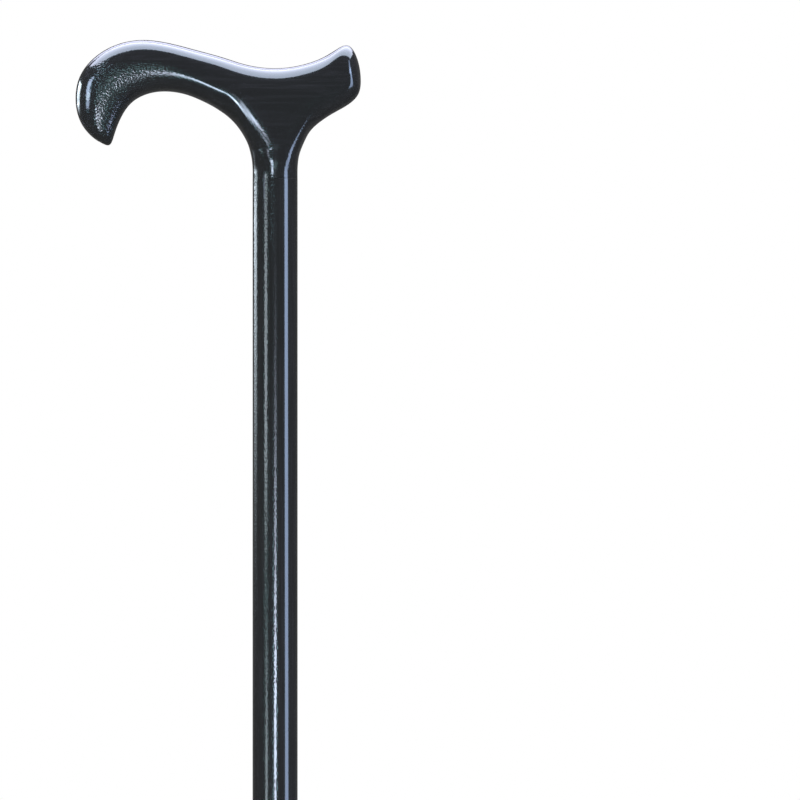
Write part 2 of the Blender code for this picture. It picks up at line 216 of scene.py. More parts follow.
def lacquered_wood(name, grain_stretch, pore_stretch, pore_depth, film_depth, filled_x, open_x, least_open,
                   refilled=(), throat=None):
    """Black stain under clear gloss. Grain and pores are noise, drawn out along the wood by their stretch.

    The pores dent the wood by pore_depth and show through the film by film_depth, both times their openness.
    It grows from least_open at filled_x to 1 at open_x. Each refilled row is (axis, filled, open): on the way
    along that axis from open to filled, it falls to REFILLED_OPENNESS of what it was. The throat is (top,
    foot, openness): on the way down between these heights it rises to that, where it isn't higher already.
    """
    finish, tree, place = new_finish(name)
    openness = between(tree, axis_of(tree, place, "X"), (filled_x, open_x), least_open, 1.0, "SMOOTHSTEP")
    for axis, *span in refilled:
        kept = between(tree, axis_of(tree, place, axis), span, REFILLED_OPENNESS, 1.0, "SMOOTHSTEP")
        openness = combined(tree, "MULTIPLY", openness, kept)
    if throat:
        top, foot, share = throat
        reopened = between(tree, axis_of(tree, place, "Z"), (top, foot), 0.0, share, "SMOOTHSTEP")
        openness = combined(tree, "MAXIMUM", openness, reopened)
    grain = noise(tree, place, GRAIN_SCALE, detail=3.0, roughness=0.6, stretch=grain_stretch)
    pores = noise(tree, place, PORE_SCALE, detail=0.0, stretch=pore_stretch)
    flow = noise(tree, place, FLOW_SCALE, detail=1.0)
    wood = add_node(tree, "Bump", {"Height": pores, "Strength": openness, "Distance": pore_depth})
    peel = add_node(tree, "Bump", {"Height": flow, "Strength": 1.0, "Distance": FLOW_DEPTH})
    film = add_node(tree, "Bump", {
        "Height": pores, "Strength": openness, "Distance": film_depth, "Normal": peel.outputs["Normal"],
    })
    shader = add_node(tree, "BsdfPrincipled", {
        "Base Color": colour_between(tree, grain, STAIN_SPAN, STAIN_DARK, STAIN_PALE),
        "Roughness": between(tree, grain, (0.0, 1.0), *WOOD_ROUGHNESS),
        "Specular IOR Level": WOOD_SPECULAR,
        "Specular Tint": WOOD_SHEEN,
        "Normal": wood.outputs["Normal"],
        "Coat Weight": 1.0,
        "Coat Roughness": LACQUER_ROUGHNESS,
        "Coat IOR": LACQUER_IOR,
        "Coat Normal": film.outputs["Normal"],
    })
    add_node(tree, "OutputMaterial", {"Surface": shader.outputs["BSDF"]})
    return finish


shaft_top = JOINT_MIDDLE - JOINT_GAP / 2
shaft_seat_top = shaft_low.z + SHAFT_SEAT_LENGTH
shaft_profile = eased([
    (0.0, JOINT_MIDDLE - BORE_REACH, 0.0),
    (BORE_RADIUS, JOINT_MIDDLE - BORE_REACH, 0.0),
    (BORE_RADIUS, shaft_top, JOINT_EASING),
    (SHAFT_RADIUS, shaft_top, JOINT_EASING),
    (SHAFT_RADIUS, shaft_seat_top + SHAFT_TAPER_LENGTH, 0.0),
    (SHAFT_TIP_RADIUS, shaft_seat_top, 0.0),
    (SHAFT_TIP_RADIUS, shaft_low.z, SHAFT_TIP_EASING),
    (0.0, shaft_low.z, 0.0),
])
# The pores are open on the nose's side of the shaft, and filled on the tail's side.
shaft_finish = lacquered_wood(
    "shaft_lacquer", grain_stretch=(1.0, 1.0, 0.03), pore_stretch=(1.0, 1.0, 0.8),
    pore_depth=0.00010, film_depth=0.000026, filled_x=0.0035, open_x=0.0, least_open=0.03,
)
shaft = skin("shaft_turned", *turned(shaft_profile, even_turns(SHAFT_SIDES)), shaft_finish)
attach(shaft, "cane")
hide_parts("shaft")


# Joint stud
# A length of zinc-plated steel studding with a rolled metric thread, glued half into the shaft and half
# into the handle, because end grain glued to end grain wouldn't hold.

STUD_RADIUS = 0.0040
STUD_LENGTH = 0.050
THREAD_PITCH = 0.00125
THREAD_DEPTH = 0.00075
THREAD_STEEPNESS = 1.3
THREAD_SUNK = 0.15
THREADED_FROM = 0.9
STUD_SIDES = 48
ROWS_PER_PITCH = 10
STUD_SHARP_ANGLE = 50
ZINC_DARK = (0.50, 0.52, 0.55, 1.0)
ZINC_PALE = (0.68, 0.69, 0.70, 1.0)
ZINC_ROUGHNESS = (0.26, 0.46)
CRYSTAL_SCALE = 1800.0
TOOL_MARK_SCALE = 2600.0
TOOL_MARK_DEPTH = 0.00001
TOOL_MARK_STRENGTH = 0.5


def zinced_steel(name, brushed_stretch):
    """Steel under dull zinc: a speckle of crystals in its colour and roughness, and fine tool marks."""
    finish, tree, place = new_finish(name)
    crystals = noise(tree, place, CRYSTAL_SCALE, detail=2.0)
    marks = noise(tree, place, TOOL_MARK_SCALE, detail=2.0, stretch=brushed_stretch)
    scored = add_node(tree, "Bump", {
        "Height": marks, "Strength": TOOL_MARK_STRENGTH, "Distance": TOOL_MARK_DEPTH,
    })
    shader = add_node(tree, "BsdfPrincipled", {
        "Base Color": colour_between(tree, crystals, (0.0, 1.0), ZINC_DARK, ZINC_PALE),
        "Metallic": 1.0,
        "Roughness": between(tree, crystals, (0.0, 1.0), *ZINC_ROUGHNESS),
        "Normal": scored.outputs["Normal"],
    })
    add_node(tree, "OutputMaterial", {"Surface": shader.outputs["BSDF"]})
    return finish


def threaded(profile, turns, pitch, depth, fade):
    """A turned rod with a thread.

    The thread's height at a point is a wave of its place along the pitch: a triangle, made steeper, sunk and
    cut off flat at both levels. It climbs one pitch a turn. From one fade to two from the rod's ends it grows
    to its full depth. Points nearer the axis than THREADED_FROM of the radius stay as they are.
    """
    points, faces = turned(profile, turns)
    x, y, z = points.T
    radius = np.hypot(x, y)
    climb = (z - z.min()) / pitch - np.arctan2(y, x) / math.tau
    wave = np.clip(THREAD_STEEPNESS * np.abs(2 * (climb % 1) - 1) - THREAD_SUNK, 0, 1)
    share = np.clip(np.minimum(z - z.min(), z.max() - z) / fade - 1, 0, 1)
    full = radius > THREADED_FROM * radius.max()
    grown = np.where(full, 1 + depth * wave * share / np.maximum(radius, depth), 1)
    return points * np.stack([grown, grown, np.ones_like(z)], axis=-1), faces


stud_core = STUD_RADIUS - THREAD_DEPTH
stud_end_radius = stud_core - THREAD_DEPTH
stud_top = JOINT_MIDDLE + STUD_LENGTH / 2
stud_foot = JOINT_MIDDLE - STUD_LENGTH / 2
stud_rows = np.arange(stud_top - THREAD_PITCH, stud_foot + THREAD_PITCH, -THREAD_PITCH / ROWS_PER_PITCH)
stud_profile = np.concatenate([
    [(0.0, stud_top), (stud_end_radius, stud_top)],
    np.stack([np.full(len(stud_rows), stud_core), stud_rows], axis=-1),
    [(stud_end_radius, stud_foot), (0.0, stud_foot)],
])
stud_skin = threaded(stud_profile, even_turns(STUD_SIDES), THREAD_PITCH, THREAD_DEPTH, fade=THREAD_PITCH)
stud_finish = zinced_steel("stud_zinc", brushed_stretch=(1.0, 1.0, 0.2))
stud = skin("stud_threaded", *stud_skin, stud_finish, STUD_SHARP_ANGLE)
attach(stud, "cane")
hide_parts("joint_stud")


# Handle
# A derby handle: one block of close-grained hardwood, sawn to its outline, carved round, sanded, stained
# and lacquered like the shaft. Its neck is bored, and pushed onto the stud's glued upper half.

HANDLE_THICKNESS = 0.0242
handle_foot = JOINT_MIDDLE + JOINT_GAP / 2
# The head is a row of ten-point sections from the nose to the tail. Each has its point on the upper
# outline and on the lower outline (x, height above the joint), and its share of the half thickness.
HEAD_SECTIONS = (
    ((-0.0812, 0.0184), (-0.0716, 0.0190), 0.52),
    ((-0.0861, 0.0244), (-0.0696, 0.0246), 0.68),
    ((-0.0886, 0.0337), (-0.0666, 0.0303), 0.80),
    ((-0.0872, 0.0443), (-0.0629, 0.0344), 0.88),
    ((-0.0812, 0.0529), (-0.0583, 0.0370), 0.94),
    ((-0.0718, 0.0589), (-0.0530, 0.0384), 0.98),
    ((-0.0598, 0.0615), (-0.0470, 0.0386), 1.00),
    ((-0.0470, 0.0601), (-0.0400, 0.0374), 1.00),
    ((-0.0349, 0.0570), (-0.0325, 0.0345), 0.99),
    ((-0.0230, 0.0537), (-0.0250, 0.0304), 0.98),
    ((-0.0118, 0.0503), (-0.0180, 0.0246), 0.98),
    ((0.0015, 0.0490), (0.0005, 0.0200), 0.98),
    ((0.0140, 0.0510), (0.0170, 0.0226), 0.96),
    ((0.0230, 0.0547), (0.0245, 0.0282), 0.92),
    ((0.0295, 0.0586), (0.0315, 0.0322), 0.87),
    ((0.0338, 0.0582), (0.0366, 0.0368), 0.70),
)
NOSE_END = ((-0.0772, 0.0158), (-0.0736, 0.0149))
TAIL_END = ((0.0370, 0.0517), (0.0381, 0.0432))
HEAD_POINTS = 10
HEAD_SQUARENESS = 2.25
# Each end is closed by six quads on its ring's ten points and its two end points, counted 10 and 11.
CAP_QUADS = ((0, 10, 2, 1), (10, 11, 3, 2), (11, 5, 4, 3), (5, 11, 7, 6), (11, 10, 8, 7), (10, 0, 9, 8))
# Under the section over the neck the head is open from point 3 round to point 7, and the neck hangs there.
OVER_NECK = 11
OPEN_FROM, OPEN_TO = 3, 7
# The neck's sections: height above the joint, how far they stand out from the shaft's radius to the nose's
# side, to the tail's side and to both faces, and their squareness. The lowest ends where the foot's eased
# edge begins.
NECK_SECTIONS = (
    (0.0172, 0.0030, 0.0034, 0.00136, 2.7),
    (0.0120, 0.0011, 0.0012, 0.00104, 2.45),
    (0.0080, 0.0003, 0.0003, 0.00086, 2.3),
    (0.0040, 0.0, 0.0, 0.00034, 2.0),
    (handle_foot + JOINT_EASING - handle_low.z, 0.0, 0.0, 0.0, 2.0),
)
NECK_POINTS = 12
CARVING_LEVELS = 4
# Points whose heights differ by less than this are on the same ring.
SAME_RING = 0.000001


def superellipse(points, squareness):
    """Points round a closed curve, as their two coordinates from -1 to 1: the cosine and the sine of the
    turn, each with its sign kept and its size raised to 2 / squareness."""
    turn = even_turns(points)
    return (np.sign(wave) * np.abs(wave) ** (2 / squareness) for wave in (np.cos(turn), np.sin(turn)))


def head_rings():
    """The head's sections as an array (section, point, xyz).

    Each is a superellipse from its upper point over the front to its lower point and up the back. It spans
    these two points, and sideways its share of the thickness.
    """
    upper, lower, share = (np.array(column) for column in zip(*HEAD_SECTIONS))
    along, across = superellipse(HEAD_POINTS, HEAD_SQUARENESS)
    outline = (upper + lower)[:, None] / 2 + (upper - lower)[:, None] / 2 * along[None, :, None]
    side = -HANDLE_THICKNESS / 2 * share[:, None] * across
    return np.stack([outline[..., 0], side, outline[..., 1] + handle_low.z], axis=-1)


def neck_rings():
    """The neck's sections as an array (section, point, xyz).

    Each is a level superellipse from the nose's side over the front to the tail's side and round the back.
    """
    height, out_nose, out_tail, out_face, squareness = np.array(NECK_SECTIONS).T[:, :, None]
    along, across = superellipse(NECK_POINTS, squareness)
    x = (out_tail - out_nose) / 2 - (SHAFT_RADIUS + (out_nose + out_tail) / 2) * along
    y = -(SHAFT_RADIUS + out_face) * across
    return np.stack([x, y, height + handle_low.z + 0 * along], axis=-1)


def handle_net():
    """The points that the handle's surface passes through, its quads, and the neck's lowest ring."""
    head, neck = head_rings(), neck_rings()
    ends = np.array([(x, 0.0, z + handle_low.z) for x, z in NOSE_END + TAIL_END])
    points = np.concatenate([head.reshape(-1, 3), ends, neck.reshape(-1, 3)])
    ring = np.arange(head[..., 0].size).reshape(head.shape[:2])
    end = ring.size + np.arange(len(ends))
    collar = ring.size + len(ends) + np.arange(neck[..., 0].size).reshape(neck.shape[:2])

    beside = np.roll(ring, -1, axis=1)
    quads = np.stack([ring[:-1], beside[:-1], beside[1:], ring[1:]], axis=-1)
    solid = np.ones(quads.shape[:2], dtype=bool)
    solid[OVER_NECK - 1:OVER_NECK + 1, OPEN_FROM:OPEN_TO] = False
    cap = np.array(CAP_QUADS)
    nose = np.concatenate([ring[0], end[:2]])[cap]
    tail = np.concatenate([ring[-1], end[2:]])[cap][:, ::-1]

    # The opening's edge, from the nose's side over the front to the tail's side and back.
    left, over, right = ring[OVER_NECK - 1:OVER_NECK + 2]
    middle = HEAD_POINTS // 2
    mouth = np.concatenate([
        left[middle:OPEN_FROM - 1:-1], [over[OPEN_FROM]], right[OPEN_FROM:OPEN_TO + 1],
        [over[OPEN_TO]], left[OPEN_TO:middle:-1],
    ])
    loops = np.concatenate([mouth[None], collar])
    after = np.roll(loops, -1, axis=1)
    hang = np.stack([loops[:-1], loops[1:], after[1:], after[:-1]], axis=-1).reshape(-1, 4)

    used, quads = np.unique(np.concatenate([quads[solid], nose, tail, hang]), return_inverse=True)
    return points[used], quads.reshape(-1, 4), np.searchsorted(used, collar[-1])


def cage_through(points, quads, rim):
    """The cage whose subdivided surface passes through the points, one at each of its corners.

    Where n quads meet, a corner settles at (n² corner + 4 neighbours + opposites) / (n (n + 5)), and on
    the open rim at (before + 4 corner + after) / 6. The cage is what these equations give back.
    """
    count = len(points)
    weights = np.zeros((count, count))
    meeting = np.bincount(quads.ravel(), minlength=count)
    corner, following, opposite, previous = (np.roll(quads, -k, axis=1).ravel() for k in range(4))
    # Each edge belongs to two quads, so each of them gives a neighbour half of its 4.
    np.add.at(weights, (corner, following), 2.0)
    np.add.at(weights, (corner, previous), 2.0)
    np.add.at(weights, (corner, opposite), 1.0)
    weights[range(count), range(count)] = meeting ** 2
    weights /= (meeting * (meeting + 5))[:, None]
    weights[rim] = 0.0
    weights[rim, rim] = 4 / 6
    weights[rim, np.roll(rim, 1)] = 1 / 6
    weights[rim, np.roll(rim, -1)] = 1 / 6
    return np.linalg.solve(weights, points)


def carved(cage, quads, levels):
    """Points and quads of the surface that the cage is subdivided to."""
    mesh = bpy.data.meshes.new("handle_block")
    mesh.from_pydata(cage.tolist(), [], quads.tolist())
    block = bpy.data.objects.new("handle_block", mesh)
    bpy.context.scene.collection.objects.link(block)
    carve = block.modifiers.new("carve", "SUBSURF")
    carve.levels = levels
    carve.render_levels = levels
    fine = block.evaluated_get(bpy.context.evaluated_depsgraph_get()).to_mesh()
    points = np.empty(len(fine.vertices) * 3)
    fine.vertices.foreach_get("co", points)
    corners = np.empty(len(fine.loops), dtype=int)
    fine.loops.foreach_get("vertex_index", corners)
    bpy.data.objects.remove(block)
    bpy.data.meshes.remove(mesh)
    return points.reshape(-1, 3), corners.reshape(-1, 4)


def with_bored_end(points, quads, profile):
    """The carved surface closed by a turned end: foot, bore's edge, bore and its floor. The carved neck's
    lowest ring takes the place of the profile's first row, and the profile is turned at its points."""
    rim = np.flatnonzero(points[:, 2] < points[:, 2].min() + SAME_RING)
    turns = np.arctan2(points[rim, 1], points[rim, 0])
    rim, turns = rim[np.argsort(turns)], np.sort(turns)
    end_points, end_faces = turned(profile, turns)
    number = np.concatenate([rim, len(points) + np.arange(len(end_points) - len(rim))])
    end_faces = [number[face].tolist() for face in end_faces]
    return np.concatenate([points, end_points[len(rim):]]), quads.tolist() + end_faces


# The neck reaches down to where the foot's eased edge begins, so what lies above that is cut off.
handle_end = eased([
    (SHAFT_RADIUS, handle_foot + 2 * JOINT_EASING, 0.0),
    (SHAFT_RADIUS, handle_foot, JOINT_EASING),
    (BORE_RADIUS, handle_foot, JOINT_EASING),
    (BORE_RADIUS, JOINT_MIDDLE + BORE_REACH, 0.0),
    (0.0, JOINT_MIDDLE + BORE_REACH, 0.0),
])[2:]
net_points, net_quads, net_rim = handle_net()
handle_cage = cage_through(net_points, net_quads, net_rim)
handle_points, handle_quads = carved(handle_cage, net_quads, CARVING_LEVELS)
# The pores are open on the nose, filled again towards its edge and its top, and a little open below the
# throat.
handle_finish = lacquered_wood(
    "handle_lacquer", grain_stretch=(0.03, 1.0, 1.0), pore_stretch=(0.80, 1.0, 1.0),
    pore_depth=0.00044, film_depth=0.00014, filled_x=-0.030, open_x=-0.066, least_open=0.03,
    refilled=(("X", -0.0810, -0.0770), ("Z", 0.9225, 0.9165)), throat=(0.8975, 0.8900, 0.14),
)
handle = skin("handle_carved", *with_bored_end(handle_points, handle_quads, handle_end), handle_finish)
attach(handle, "cane")
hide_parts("handle")


# Ferrule washer
# A steel disc punched from sheet and zinc-plated. It lies loose on the floor of the ferrule's socket, and
# keeps the shaft from punching through the sole. The punch rolls its upper edges over.

WASHER_HOLE_RADIUS = 0.0030
WASHER_ROLLED_EDGE = 0.00035
WASHER_BURRED_EDGE = 0.00008
WASHER_SIDES = 96

washer_low, washer_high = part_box("ferrule_washer")
washer_profile = eased([
    (washer_high.x, washer_high.z, WASHER_ROLLED_EDGE),
    (washer_high.x, washer_low.z, WASHER_BURRED_EDGE),
    (WASHER_HOLE_RADIUS, washer_low.z, WASHER_BURRED_EDGE),
    (WASHER_HOLE_RADIUS, washer_high.z, WASHER_ROLLED_EDGE),
])
washer_finish = zinced_steel("washer_zinc", brushed_stretch=(1.0, 0.1, 1.0))
washer = skin("washer_punched", *turned(washer_profile, even_turns(WASHER_SIDES), ring=True), washer_finish)
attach(washer, "ferrule")
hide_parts("ferrule_washer")


# Ferrule
# A foot of black rubber, moulded in two halves that leave a fine line down its sides. It has a ribbed
# collar, a flare and a ringed tread, and its own grip holds it on the shaft's tip.

FERRULE_SOLE = 0.0080
FERRULE_WALL = 0.0031
FERRULE_CLEARANCE = 0.0003
SOCKET_FLOOR_EASING = 0.0002
LIP_INNER_EASING = 0.0006
LIP_OUTER_EASING = 0.0010
RIB_COUNT = 3
RIB_PITCH = 0.0044
RIB_HEIGHT = 0.0010
RIB_BASE_WIDTH = 0.0026
RIB_TIP_WIDTH = 0.0010
RIB_START = 0.0042
RIB_ROOT_EASING = 0.0003
RIB_TIP_EASING = 0.0003
FOOT_HEIGHT = 0.0060
FLARE_HEIGHT = 0.0140
FLARE_ROWS = 28
FOOT_EDGE_EASING = 0.0016
TREAD_DEPTH = 0.0014
TREAD_GROOVE_COUNT = 3
TREAD_GROOVE_WIDTH = 0.0018
TREAD_CENTRE_RADIUS = 0.0032
TREAD_EDGE_EASING = 0.0002
TREAD_ROOT_EASING = 0.0004
FERRULE_SIDES = 144
PARTING_HEIGHT = 0.00012
PARTING_HALF_WIDTH = 0.0003
PARTING_TURNS = 4
# The rubber goes from clean to dusty while the dust crosses the span.
RUBBER_CLEAN = (0.022, 0.022, 0.023, 1.0)
RUBBER_DUSTY = (0.075, 0.072, 0.067, 1.0)
DUST_SPAN = (0.42, 0.95)
DUST_AT_GROUND = 0.30
RUBBER_ROUGHNESS = (0.58, 0.86)
RUBBER_SPECULAR = 0.35
CLOUD_SCALE = 160.0
GRIT_SCALE = 3200.0
GRIT_DEPTH = 0.00003
GRIT_STRENGTH = 0.7

ferrule_low, ferrule_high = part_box("ferrule")


def moulded_rubber(name):
    """Matt black rubber with the mould's fine spark-eroded texture, and dust and scuffs near the ground."""
    finish, tree, place = new_finish(name)
    nearness = between(tree, axis_of(tree, place, "Z"), (0.0, FOOT_HEIGHT), DUST_AT_GROUND, 0.0)
    clouds = noise(tree, place, CLOUD_SCALE, detail=4.0, roughness=0.6)
    dust = combined(tree, "ADD", clouds, nearness)
    grit = noise(tree, place, GRIT_SCALE, detail=2.0)
    eroded = add_node(tree, "Bump", {"Height": grit, "Strength": GRIT_STRENGTH, "Distance": GRIT_DEPTH})
    shader = add_node(tree, "BsdfPrincipled", {
        "Base Color": colour_between(tree, dust, DUST_SPAN, RUBBER_CLEAN, RUBBER_DUSTY),
        "Roughness": between(tree, dust, (0.0, 1.0), *RUBBER_ROUGHNESS),
        "Specular IOR Level": RUBBER_SPECULAR,
        "Normal": eroded.outputs["Normal"],
    })
    add_node(tree, "OutputMaterial", {"Surface": shader.outputs["BSDF"]})
    return finish


def ferrule_profile(socket, collar, foot):
    """The ferrule's half section from the radii of its socket, collar and foot: it runs from the socket's
    floor over the lip and down the ribs, the flare and the foot's edge to the tread."""
    corners = [
        (0.0, FERRULE_SOLE, 0.0),
        (socket, FERRULE_SOLE, SOCKET_FLOOR_EASING),
        (socket, ferrule_high.z, LIP_INNER_EASING),
        (collar, ferrule_high.z, LIP_OUTER_EASING),
    ]
    for k in range(RIB_COUNT):
        middle = ferrule_high.z - RIB_START - k * RIB_PITCH
        corners += [
            (collar, middle + RIB_BASE_WIDTH / 2, RIB_ROOT_EASING),
            (collar + RIB_HEIGHT, middle + RIB_TIP_WIDTH / 2, RIB_TIP_EASING),
            (collar + RIB_HEIGHT, middle - RIB_TIP_WIDTH / 2, RIB_TIP_EASING),
            (collar, middle - RIB_BASE_WIDTH / 2, RIB_ROOT_EASING),
        ]
    # The flare widens with the square of the way down.
    way = np.linspace(0, 1, FLARE_ROWS)
    flare_radius = collar + (foot - collar) * way ** 2
    flare_height = FOOT_HEIGHT + FLARE_HEIGHT * (1 - way)
    corners += [(radius, height, 0.0) for radius, height in zip(flare_radius, flare_height)]
    corners.append((foot, ferrule_low.z, FOOT_EDGE_EASING))
    flat = foot - FOOT_EDGE_EASING
    land = (flat - TREAD_CENTRE_RADIUS - TREAD_GROOVE_COUNT * TREAD_GROOVE_WIDTH) / TREAD_GROOVE_COUNT
    for k in range(TREAD_GROOVE_COUNT):
        outer = flat - land - k * (land + TREAD_GROOVE_WIDTH)
        inner = outer - TREAD_GROOVE_WIDTH
        corners += [
            (outer, ferrule_low.z, TREAD_EDGE_EASING),
            (outer, ferrule_low.z + TREAD_DEPTH, TREAD_ROOT_EASING),
            (inner, ferrule_low.z + TREAD_DEPTH, TREAD_ROOT_EASING),
            (inner, ferrule_low.z, TREAD_EDGE_EASING),
        ]
    corners.append((0.0, ferrule_low.z, 0.0))
    return eased(corners)


def with_parting_line(points, collar, foot):
    """The moulded skin with a ridge where the mould's halves met, in the plane through the axis and X.

    It stands out by its height times (1 - (y / half width) squared) squared, on the outer side above the
    foot's edge, and runs out where the ferrule is at its widest.
    """
    x, y, z = points.T
    radius = np.hypot(x, y)
    ridge = PARTING_HEIGHT * np.clip(1 - (y / PARTING_HALF_WIDTH) ** 2, 0, 1) ** 2
    outside = (radius > collar - PARTING_HEIGHT) & (z > FOOT_EDGE_EASING)
    room = np.clip((foot - radius) / PARTING_HEIGHT, 0, 1)
    grown = 1 + np.where(outside, ridge * room, 0) / np.maximum(radius, collar)
    return points * np.stack([grown, grown, np.ones_like(z)], axis=-1)


ferrule_socket = SHAFT_TIP_RADIUS + FERRULE_CLEARANCE
ferrule_collar = ferrule_socket + FERRULE_WALL
# The fine ridge gets turns of its own, on both sides.
parting_turns = np.linspace(-1, 1, 2 * PARTING_TURNS + 1) * PARTING_HALF_WIDTH / ferrule_collar
ferrule_turns = np.concatenate([even_turns(FERRULE_SIDES), parting_turns, parting_turns + math.pi]) % math.tau
# Rounding makes one of two turns that differ only in their last digits.
ferrule_turns = np.unique(ferrule_turns.round(9))
ferrule_section = ferrule_profile(ferrule_socket, ferrule_collar, ferrule_high.x)
ferrule_points, ferrule_faces = turned(ferrule_section, ferrule_turns)
ferrule_points = with_parting_line(ferrule_points, ferrule_collar, ferrule_high.x)
ferrule = skin("ferrule_moulded", ferrule_points, ferrule_faces, moulded_rubber("ferrule_rubber_matt"))
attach(ferrule, "ferrule")
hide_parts("ferrule")


# Studio
# A pale round floor that fades into white, softboxes round the cane and over it, and a camera with a long
# lens, level and square to the handle's side. The gloss meets dark surroundings between the softboxes.

FLOOR_RADIUS = 1.7
FLOOR_PLAIN_RADIUS = 0.9
FLOOR_RINGS = 24
FLOOR_SIDES = 96
FLOOR_TONE = (0.58, 0.57, 0.46)
FLOOR_FIBRE_SCALE = 900.0
FLOOR_MOTTLE = (0.97, 1.03)
WHITE = (1.0, 1.0, 1.0, 1.0)
DIFFUSE_SURROUND = (0.22, 0.21, 0.20, 1.0)
GLOSS_SURROUND = (0.215, 0.205, 0.215, 1.0)
GLOSS_BACK = (0.10, 0.10, 0.10, 1.0)
BACK_SPAN = (-0.3, 0.7)
CAMERA_DISTANCE = 2.5
SENSOR_WIDTH = 36.0
# The picture is square. In it, the shaft is so wide, its axis at this column and the joint at this row.
PICTURE_PIXELS = 800
SHAFT_PIXELS = 45.0
AXIS_COLUMN = 275.1
JOINT_ROW = 178.5


def blended(tree, share, first, second):
    """A colour that goes from the first to the second as the share goes from 0 to 1."""
    return add_node(tree, "MixRGB", {"Fac": share, "Color1": first, "Color2": second}).outputs["Color"]


def dark_surround(tree, place):
    """The colour that the gloss meets: dark, and darker still on the way back, where Y crosses BACK_SPAN."""
    back = between(tree, axis_of(tree, place, "Y"), BACK_SPAN, 0.0, 1.0, "SMOOTHSTEP")
    return blended(tree, back, GLOSS_SURROUND, GLOSS_BACK)


def seen_plain(tree, ray):
    """1 for rays from the camera and rays that come through something clear, 0 for all others."""
    return combined(tree, "MAXIMUM", ray.outputs["Is Camera Ray"], ray.outputs["Is Transmission Ray"])


def floor_finish(name):
    """Pale board near the cane, plain white to the camera at the rim, dark to what mirrors it, and clear
    from below, so that the cane's foot can be looked at."""
    finish, tree, place = new_finish(name)
    ray = add_node(tree, "LightPath", {})
    out = add_node(tree, "VectorMath", {0: place}, operation="LENGTH").outputs["Value"]
    rim = between(tree, out, (FLOOR_PLAIN_RADIUS, FLOOR_RADIUS), 0.0, 1.0, "SMOOTHSTEP")
    plain = combined(tree, "MULTIPLY", rim, seen_plain(tree, ray))
    mottle = between(tree, noise(tree, place, FLOOR_FIBRE_SCALE, detail=3.0), (0.0, 1.0), *FLOOR_MOTTLE)
    tone = add_node(tree, "VectorMath", {0: FLOOR_TONE, "Scale": mottle}, operation="SCALE").outputs["Vector"]
    matt = add_node(tree, "BsdfDiffuse", {"Color": tone}).outputs["BSDF"]
    glow_colour = blended(tree, ray.outputs["Is Glossy Ray"], WHITE, dark_surround(tree, place))
    glow = add_node(tree, "Emission", {"Color": glow_colour, "Strength": 1.0}).outputs["Emission"]
    glowing = combined(tree, "MAXIMUM", plain, ray.outputs["Is Glossy Ray"])
    above = add_node(tree, "MixShader", {"Fac": glowing, 1: matt, 2: glow}).outputs["Shader"]
    from_below = add_node(tree, "NewGeometry", {}).outputs["Backfacing"]
    clear = add_node(tree, "BsdfTransparent", {}).outputs["BSDF"]
    board = add_node(tree, "MixShader", {"Fac": from_below, 1: above, 2: clear}).outputs["Shader"]
    add_node(tree, "OutputMaterial", {"Surface": board})
    return finish


floor_radii = np.linspace(0.0, FLOOR_RADIUS, FLOOR_RINGS)
floor_profile = np.stack([floor_radii, np.zeros(FLOOR_RINGS)], axis=-1)
floor = skin("floor", *turned(floor_profile, even_turns(FLOOR_SIDES)), floor_finish("floor_board"))

SKY_TINT = (0.86, 0.87, 1.12)
COOL_TINT = (0.85, 0.94, 1.06)
BLUE_TINT = (0.62, 0.70, 1.08)
LAVENDER_TINT = (0.82, 0.90, 1.27)
TEAL_TINT = (0.60, 1.0, 1.02)
PALE_TINT = (0.89, 0.94, 1.20)
# Where the boxes aim. The points over the cane, its nose and its tail set their boxes that much higher.
UPPER_SHAFT = (0.0, 0.0, 0.85)
OVER_CANE = (0.0, 0.0, 0.95)
OVER_NOSE = (-0.085, 0.0, 0.965)
OVER_TAIL = (0.034, 0.0, 0.968)
NOSE_CHEEK = (-0.084, -0.008, 0.9065)

FULL_SPREAD = 180.0


def softbox(name, azimuth, elevation, distance, size, radiance, tint, aim=UPPER_SHAFT, lean=0.0, roll=0.0,
            dark_end=None, full_end=None, falloff=1.0, spread=FULL_SPREAD):
    """A flat lamp that faces the point it aims at, or leans back from it. Its angles are in degrees.

    Azimuth and elevation are seen from that point: from the camera's side round to the right, and up. Its
    power is radiance x pi x area. Where it has a dark end and a full end, as shares of its height, it grows
    from the one to the other as the share of the way between, raised to the falloff. The spread is its cone.
    """
    turn, rise = math.radians(azimuth), math.radians(elevation)
    out = Vector((math.sin(turn) * math.cos(rise), -math.cos(turn) * math.cos(rise), math.sin(rise)))
    data = bpy.data.lights.new(name, "AREA")
    data.shape = "RECTANGLE"
    data.size, data.size_y = size
    data.energy = radiance * math.pi * size[0] * size[1]
    if spread < FULL_SPREAD:
        # A narrowed lamp shines its whole power into its cone, so it is brighter ahead by this share.
        half = math.radians(spread) / 2
        data.energy *= 1 - half / math.tan(half)
    data.color = tint
    data.spread = math.radians(spread)
    if dark_end is not None:
        data.use_nodes = True
        tree = data.node_tree
        tree.nodes.clear()
        height = axis_of(tree, add_node(tree, "NewGeometry", {}).outputs["Parametric"], "Y")
        way = between(tree, height, (dark_end, full_end), 0.0, 1.0)
        glow = add_node(tree, "Emission", {"Strength": combined(tree, "POWER", way, falloff)})
        add_node(tree, "OutputLight", {"Surface": glow.outputs["Emission"]})
    lamp = bpy.data.objects.new(name, data)
    lamp.location = Vector(aim) + out * distance
    tipped = Euler((math.radians(lean), 0, math.radians(roll))).to_quaternion()
    lamp.rotation_euler = (out.to_track_quat("Z", "Y") @ tipped).to_euler()
    lamp.visible_camera = False
    bpy.context.scene.collection.objects.link(lamp)


